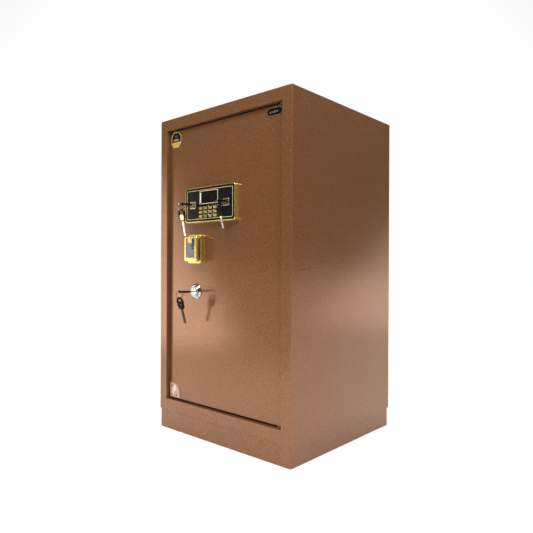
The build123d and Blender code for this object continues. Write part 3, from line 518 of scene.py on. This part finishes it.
def handle_details(inset_metal, black):
    """The knob's grey inset with black strokes on it, a black band round the neck as painted shade between
    knob and base, and a black line as painted shade in the base's groove.
    """
    knob = middle("handle_knob")
    base, base_size = middle("handle_base"), size("handle_base")
    floor = front("handle_knob") + 2.0 * MM  # of the knob's sunk panel
    inset = pad("handle_inset", rounded(31.4 * MM, 47.4 * MM, 1.0 * MM), (knob.x, knob.z + 2 * MM),
                floor, 0.7 * MM, inset_metal)
    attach(inset, "handle")
    strokes = {  # name: (width, height, corner radius, across, up)
        "handle_mark": (7.5, 15.0, 1.5, 10.8, 17.0),
        "handle_mark_hook": (12.0, 4.5, 2.0, 6.5, 7.5),
        "handle_mark_foot": (9.5, 4.5, 2.0, 8.0, 1.0),
    }
    for name, (width, height, radius, across, up) in strokes.items():
        place = (knob.x + across * MM, knob.z + up * MM)
        stroke = pad(name, rounded(width * MM, height * MM, radius * MM), place, floor - 0.7 * MM, 0.15 * MM,
                     black, 0.05 * MM)
        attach(stroke, "handle")
    # A black band round the neck: painted shade in the gap between knob and base.
    neck_shade = trim_frame("handle_neck_shade", rounded(36.6 * MM, 50.6 * MM, 4.2 * MM), 0.0, 0.5 * MM,
                        (knob.x, knob.z), front("handle_base") - 0.5 * MM, 4.8 * MM, black)
    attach(neck_shade, "handle")
    # A black line in the base's groove: painted shade in the recess.
    in_groove = rounded(base_size.x - 1.2 * MM, base_size.z - 1.2 * MM, 5.4 * MM)
    line = trim_frame("handle_groove_shade", in_groove, 0.0, 0.6 * MM, (base.x, base.z),
                      front("handle_base") + 7.7 * MM, 1.4 * MM, black)
    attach(line, "door")


def round_line(name, radius, width, place, back, proud, material):
    """A raised ring whose outside has the radius."""
    circle = rounded(2 * radius, 2 * radius, radius - 0.01 * MM)
    return trim_frame(name, circle, 0.0, width, place, back, proud, material)


def main_lock_details(dark):
    """Black rings as painted shade in the gap round the main plug and round the rose, and the two studs in
    the plug's face, above and below the keyway.
    """
    rose = middle("main_lock_escutcheon")
    # Both rings are painted shade: black put in the gaps where shade falls.
    gap = round_line("plug_gap_shade", 10.3 * MM, 1.9 * MM, (rose.x, rose.z), front("main_lock_body") + 0.05 * MM,
                     0.6 * MM, dark)
    rim = round_line("rose_gap_shade", 14.0 * MM, 0.6 * MM, (rose.x, rose.z),
                     front("main_lock_escutcheon") + 2.65 * MM, 0.15 * MM, dark)
    for line in (gap, rim):
        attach(line, "door")
    for name, rise in (("plug_stud_low", -5.2), ("plug_stud_high", 5.2)):
        stud = round_line(name, 2.2 * MM, 1.0 * MM, (rose.x, rose.z + rise * MM), front("main_lock_plug"),
                          0.12 * MM, dark)
        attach(stud, "main_plug")


def badge_shapes(prefix, shapes, place, y, materials):
    """Low rounded shapes on a nameplate: width, height, corner radius, across, up, proud and material."""
    x, z = place
    for name, (width, height, radius, across, up, proud, material) in shapes.items():
        shape = pad(f"{prefix}_{name}", rounded(width * MM, height * MM, radius * MM),
                    (x + across * MM, z + up * MM), y, proud * MM, materials[material], 0.1 * MM)
        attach(shape, "door")


def shield_badge(materials):
    """Gilt rim and foot round a black field with a dome and a bar."""
    plate, extent, y = middle("badge_shield"), size("badge_shield"), front("badge_shield")
    rim = trim_frame("shield_rim", octagon(extent.x, extent.z, 10.5 * MM), 0.2 * MM, 2.2 * MM,
                     (plate.x, plate.z), y, 0.35 * MM, materials["gilt"])
    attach(rim, "door")
    shapes = {
        "bar": (21, 3.6, 1, -1, -0.5, 0.25, "rosy"),
        "band": (34, 5.5, 1, 0, -8.6, 0.3, "gilt"),
        "foot": (24, 7.5, 1, 0, -14.4, 0.3, "gilt"),
        "dome": (13, 9, 4.4, 0, 8.5, 0.2, "dark"),
    }
    badge_shapes("shield", shapes, (plate.x, plate.z), y, materials)


def oval_badge(materials):
    """Bronze rim and a row of plain bars on black."""
    plate, extent, y = middle("badge_oval"), size("badge_oval"), front("badge_oval")
    rim = trim_frame("oval_rim", rounded(extent.x, extent.z, extent.z / 2 - 0.1 * MM), 0.2 * MM, 1.4 * MM,
                     (plate.x, plate.z), y, 0.3 * MM, materials["bronze"])
    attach(rim, "door")
    shapes = {}
    for i, height in enumerate((4.2, 3.2, 4.8, 3.4)):
        shapes[f"bar_{i}"] = (4.2, height, 1, 6.4 * i - 11.5, -0.5, 0.2, "bronze")
    badge_shapes("oval", shapes, (plate.x, plate.z), y, materials)


def corner_badge(materials):
    """Silver shapes and dark dots on rosy foil, placed from the plate's lower left corner."""
    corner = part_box("badge_corner")[0]
    shapes = {
        "upper": (15, 8, 2.5, 17, 20, 0.3, "silver"),
        "peak": (7, 7, 2, 19, 27, 0.3, "silver"),
        "lower": (8, 9, 2.5, 12, 11.5, 0.3, "silver"),
    }
    for i, (across, up, wide) in enumerate(((7, 28, 4.5), (8, 5, 3.5), (25, 6, 5.5))):
        shapes[f"dot_{i}"] = (wide, wide, 0.48 * wide, across, up, 0.2, "dark")
    badge_shapes("corner", shapes, (corner.x, corner.z), corner.y, materials)


def door_gap_shades(gap_shade_black):
    """Black strips in the gaps above and below the door, on the frame: painted shade that darkens the gaps.
    """
    low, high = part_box("door_panel")
    clear, deep, tall = 0.6 * MM, 8 * MM, 2.3 * MM
    wide = middle("hinge_pins").x - 13 * MM - low.x
    for name, z0 in (("gap_shade_top", high.z + clear), ("gap_shade_bottom", low.z - clear - tall)):
        bm = bmesh.new()
        bmesh.ops.create_cube(bm, size=1.0)
        bmesh.ops.scale(bm, vec=(wide, deep, tall), verts=bm.verts)
        centre = Vector((low.x + wide / 2, low.y + 1 * MM + deep / 2, z0 + tall / 2))
        bmesh.ops.translate(bm, vec=centre, verts=bm.verts)
        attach(finish_mesh(name, bm, gap_shade_black, smooth=False), "cabinet")


def dress(materials):
    """Gives each CAD node the material of its record slot, apart from those named here."""
    own = {f"button_{name}": "key_caps" for name in BUTTONS}
    # The main and right key rings get a darkened steel: painted shade on their wire.
    own.update(dict.fromkeys(("right_key_ring", "main_key_ring"), "shaded_wire"))
    own["hinge_pins"] = "lock_steel"
    own.update(dict.fromkeys(("left_lock_plug", "right_lock_plug", "panel_lock_bodies"), "lock_steel"))
    for entry in frame["record"]["subparts"]:
        node = NODES[entry["node"]]
        chosen = materials[own.get(entry["node"], entry["material_slot"])]
        node.data.materials.clear()
        node.data.materials.append(chosen)


def dress_keys():
    """The bow and blade of each key, told apart along the key."""
    silver, dull, worn_and_dark_reflection = (0.76, 0.74, 0.70), (0.40, 0.38, 0.36), (0.06, 0.04, 0.03)
    keys = {  # name: (bow length, spare blade's plate, collar length)
        # The main spare's blade plate is near-black brown: a painted dark reflection on the blade.
        "main": (32, worn_and_dark_reflection, 0.0),
        "left": (30, silver, 5.0),
        "right": (24, dull, 3.5),
    }
    for name, (bow, plate, collar) in keys.items():
        key, spare = f"{name}_key", f"{name}_spare_key"
        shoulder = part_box(key)[0].y + bow * MM
        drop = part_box(spare)[1].z - bow * MM * math.cos(math.radians(LEAN[name]))
        NODES[key].data.materials[0] = key_material(key, shoulder, "Y", 1, silver, collar * MM)
        NODES[spare].data.materials[0] = key_material(spare, drop, "Z", -1, plate, collar * MM)


def on_spare_key(name, piece, across, down):
    """Lays a piece, made flat round the origin facing -Y, on the front of a leaning spare key's bow."""
    key = NODES[f"{name}_spare_key"]
    low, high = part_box(f"{name}_spare_key")
    lean = math.radians(LEAN[name])
    forward = Vector((0.0, -math.cos(lean), -math.sin(lean)))
    face = max((key.matrix_world @ vert.co).dot(forward) for vert in key.data.vertices)
    spot = Vector(((low.x + high.x) / 2 + across, low.y, high.z))
    spot += down * Vector((0.0, math.sin(lean), -math.cos(lean)))
    spot += (face - spot.dot(forward)) * forward
    piece.data.transform(Matrix.Translation(spot) @ Matrix.Rotation(lean, 4, "X"))
    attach(piece, f"{name}_spare")


def key_inlays(pale_gold, orange):
    """The plated inlay on one spare key's bow and the small coloured dot on another."""
    inlay = pad("left_spare_inlay", rounded(14 * MM, 14 * MM, 4.5 * MM), (0.0, 0.0), 0.0, 0.25 * MM,
                pale_gold, 0.1 * MM)
    on_spare_key("left", inlay, 0.5 * MM, 20.5 * MM)
    dot = pad("main_spare_dot", rounded(3.4 * MM, 3.4 * MM, 1.6 * MM), (0.0, 0.0), 0.0, 0.25 * MM,
              orange, 0.1 * MM)
    on_spare_key("main", dot, 3.2 * MM, 18.5 * MM)


# ---- studio ----
def area_light(name, place, target, width, height, power, color=(1, 1, 1), roll=0.0):
    """A rectangular light that faces the target, turned about its own axis by roll degrees."""
    data = bpy.data.lights.new(name, "AREA")
    data.shape = "RECTANGLE"
    data.size, data.size_y = width, height
    data.energy, data.color = power, color
    light = new_object(name, data)
    light.location = place
    facing = (Vector(target) - Vector(place)).to_track_quat("-Z", "Y").to_matrix()
    light.rotation_euler = (facing @ Matrix.Rotation(math.radians(roll), 3, "Z")).to_euler()
    return light


def camera():
    """A 34.6 mm lens at half height, seen from the front right corner."""
    azimuth, pitch, roll = (math.radians(a) for a in CAMERA_TURN)
    low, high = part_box("outer_shell")
    axis = Vector(((low.x + high.x) / 2, (front("front_frame") + high.y) / 2, 0.0))
    flat = math.cos(pitch)
    forward = Vector((-math.sin(azimuth) * flat, math.cos(azimuth) * flat, math.sin(pitch)))
    level = Vector((math.cos(azimuth), math.sin(azimuth), 0.0))
    upright = level.cross(forward)
    right = math.cos(roll) * level + math.sin(roll) * upright
    up = math.cos(roll) * upright - math.sin(roll) * level
    data = bpy.data.cameras.new("camera")
    data.lens, data.sensor_width = LENS, SENSOR
    eye = new_object("camera", data)
    turn = Matrix((right, up, -forward)).transposed().to_4x4()
    eye.matrix_world = Matrix.Translation(axis + Vector(CAMERA_PLACE)) @ turn
    bpy.context.scene.camera = eye


def studio_world():
    """Pale surroundings, white behind the safe and dimmer towards the lights' side."""
    world = bpy.data.worlds.new("studio")
    world.use_nodes = True
    tree = world.node_tree
    place = tree.nodes.new("ShaderNodeTexCoord")
    facing = tree.nodes.new("ShaderNodeVectorMath")
    facing.operation = "DOT_PRODUCT"
    facing.inputs[1].default_value = BEHIND_SAFE
    level = tree.nodes.new("ShaderNodeMapRange")
    level.interpolation_type = "SMOOTHSTEP"
    for socket, value in zip(RANGE_SOCKETS, (0.55, 0.86, DIM_SIDE, 1.0)):
        level.inputs[socket].default_value = value
    height = tree.nodes.new("ShaderNodeSeparateXYZ")
    ceiling = tree.nodes.new("ShaderNodeMapRange")
    for socket, value in zip(RANGE_SOCKETS, (0.0, 0.4, 0.0, CEILING)):
        ceiling.inputs[socket].default_value = value
    brighter = tree.nodes.new("ShaderNodeMath")
    brighter.operation = "MAXIMUM"
    tree.links.new(place.outputs["Generated"], facing.inputs[0])
    tree.links.new(place.outputs["Generated"], height.inputs["Vector"])
    tree.links.new(facing.outputs["Value"], level.inputs["Value"])
    tree.links.new(height.outputs["Z"], ceiling.inputs["Value"])
    tree.links.new(level.outputs["Result"], brighter.inputs[0])
    tree.links.new(ceiling.outputs["Result"], brighter.inputs[1])
    tree.links.new(brighter.outputs["Value"], tree.nodes["Background"].inputs["Color"])
    tree.nodes["Background"].inputs["Strength"].default_value = 1.0
    bpy.context.scene.world = world


def studio():
    """White floor, a slanting softbox for each face that the camera sees, and soft light from above."""
    bm = bmesh.new()
    bmesh.ops.create_grid(bm, x_segments=8, y_segments=8, size=20.0)
    ground = finish_mesh("studio_floor", bm, floor_material())
    ground.location.z = cad_box[0].z
    studio_world()
    warm = (1.0, 0.94, 0.88)
    area_light("door_softbox", (-1.50, -0.87, 0.085), (-0.50, 0.13, 0.085), 1.6, 1.05, DOOR_LIGHT, warm,
               -DOOR_SLANT)
    area_light("side_softbox", (1.07, 2.46, -0.08), (-0.36, 0.0, -0.08), 2.4, 1.4, SIDE_LIGHT, warm,
               SIDE_SLANT)
    overhead = bpy.data.lights.new("overhead", "SUN")
    overhead.energy, overhead.angle = TOP_LIGHT, math.radians(30)
    new_object("overhead", overhead)
    area_light("front_fill", (0.3, -1.4, 2.1), (0.0, -0.2, 0.8), 0.7, 0.7, FILL_LIGHT)
    area_light("side_fill", (1.6, -0.8, 1.8), (0.22, -0.1, 0.7), 0.7, 0.7, 0.6 * FILL_LIGHT)


def main():
    scene = bpy.context.scene
    scene.view_settings.view_transform = "Standard"
    # Near-black for the handle's strokes and for painted shade: the neck band, the groove line and the rings
    # in the main lock's gaps.
    black_ink_and_shade = ink("black_ink_and_shade", (0.008, 0.008, 0.008))
    materials = {
        "brown_paint": hammertone(),
        "inner_paint": inner_coat(),
        "steel": steel(),
        "chrome": chrome(),
        "gold": gold(),
        "black_plastic": black_plastic(),
        "gloss_black": black_plastic("fascia_black", 0.22, 0.005, 0.24),
        "display_glass": display_glass(),
        "board": circuit_board(),
        "key_shell": black_plastic("key_black", 0.3, 0.012),
        # Darkened steel for two key rings: painted shade.
        "shaded_wire": steel("shaded_wire", (0.16, 0.15, 0.14), 0.35),
        "lock_steel": steel("lock_steel", (0.24, 0.22, 0.20), 0.3),
        "key_caps": key_caps(),
        "plate_shield": enamel("shield_enamel", (0.006, 0.006, 0.006)),
        "plate_oval": enamel("oval_enamel", (0.004, 0.004, 0.004)),
        "plate_corner": foil(),
    }
    camera()
    dress(materials)
    dress_keys()
    # The last ink is the white of the painted highlight by the display.
    keypad_details(gold("gold_line", 0.4, (0.95, 0.78, 0.42), 0.6), ink("legend_ink", (1.0, 0.98, 1.0)),
                   ink("glint_ink", (1.0, 0.98, 0.95)))
    key_inlays(gold("pale_gold", 0.4, (0.92, 0.76, 0.50), 0.6), ink("orange", (0.22, 0.06, 0.012)))
    handle_details(grey_satin(), black_ink_and_shade)
    main_lock_details(black_ink_and_shade)
    badge_materials = {
        "gilt": gold("badge_gold", 0.3, (0.86, 0.66, 0.22), 0.7),
        "bronze": gold("bronze", 0.35, (0.36, 0.20, 0.08), 0.6),
        "rosy": ink("rosy_ink", (0.42, 0.26, 0.19)),
        "silver": steel("badge_silver", (0.66, 0.66, 0.64), 0.4),
        "dark": ink("grey_ink", (0.02, 0.02, 0.02)),
    }
    shield_badge(badge_materials)
    oval_badge(badge_materials)
    corner_badge(badge_materials)
    # Black strips darkening the door gaps: painted shade.
    door_gap_shades(black_plastic("gap_shade_black", 0.6, 0.006, 0.1))
    studio()


main()
